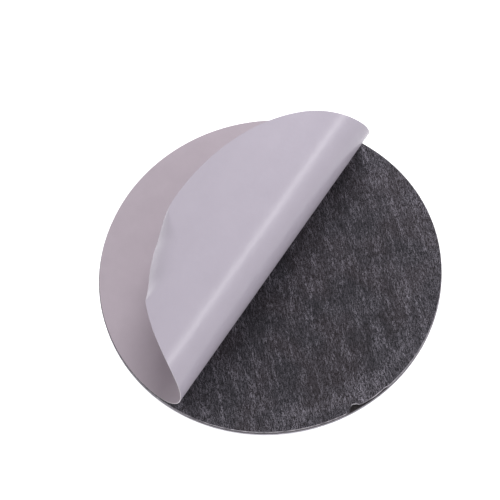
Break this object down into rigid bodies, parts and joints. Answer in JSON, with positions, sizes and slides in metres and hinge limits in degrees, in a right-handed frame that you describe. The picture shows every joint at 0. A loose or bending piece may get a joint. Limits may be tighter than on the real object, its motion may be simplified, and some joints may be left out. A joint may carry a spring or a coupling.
{
  "type": "self-adhesive swivel caster",
  "caption": "Low swivel caster on a round self-adhesive foam pad, its release liner half peeled and folded back, with a ball race, pressed fork and soft-tread wheel.",
  "frame": {"origin": "middle of the adhesive face, on the swivel axis", "axes": "+Z out of the adhesive, towards what the caster sticks to, with the wheel below; +X along the liner's fold; +Y towards the covered side and the side the wheel trails to at rest"},
  "size_m": [0.06, 0.06, 0.0501],
  "materials": {
    "liner_paper": "satin",
    "tape_charcoal": "matte",
    "foam_black": "matte",
    "bond_clear": "satin",
    "plate_steel": "satin",
    "zinc": "satin",
    "cage_brass": "satin",
    "ball_steel": "polished",
    "nylon": "satin",
    "hub_black": "satin",
    "tread_grey": "matte"
  },
  "bodies": {
    "pad_and_plate": {"tissue_tape": "tape_charcoal", "foam_pad": "foam_black", "bond_film": "bond_clear", "mounting_plate": "plate_steel", "kingpin": "zinc", "thrust_washer": "nylon", "rivet_washer": "zinc"},
    "liner": {"release_liner": "liner_paper"},
    "cage": {"ball_cage": "cage_brass", "bearing_ball_1": "ball_steel", "bearing_ball_2": "ball_steel", "bearing_ball_3": "ball_steel", "bearing_ball_4": "ball_steel", "bearing_ball_5": "ball_steel", "bearing_ball_6": "ball_steel", "bearing_ball_7": "ball_steel", "bearing_ball_8": "ball_steel"},
    "fork": {"fork": "zinc", "axle_bolt": "zinc", "axle_nut": "zinc", "axle_sleeve": "zinc", "axle_washer_left": "nylon", "axle_washer_right": "nylon"},
    "wheel": {"wheel_hub": "hub_black", "tread": "tread_grey", "hub_bush_left": "nylon", "hub_bush_right": "nylon"}
  },
  "joints": [
    {"name": "swivel", "type": "hinge", "parent": "pad_and_plate", "child": "fork", "pos_m": [0, 0, -0.00588], "axis": [0, 0, 1], "continuous": true},
    {"name": "cage_turn", "type": "hinge", "parent": "pad_and_plate", "child": "cage", "pos_m": [0, 0, -0.00513], "axis": [0, 0, 1], "continuous": true},
    {"name": "wheel_roll", "type": "hinge", "parent": "fork", "child": "wheel", "pos_m": [0, 0.008, -0.02354], "axis": [1, 0, 0], "continuous": true},
    {"name": "liner_lift", "type": "slide", "parent": "pad_and_plate", "child": "liner", "axis": [0, 0, 1], "range_m": [0, 0.04]}
  ],
  "couplings": [
    {"joint": "cage_turn", "follows": "swivel", "ratio": 0.5}
  ]
}
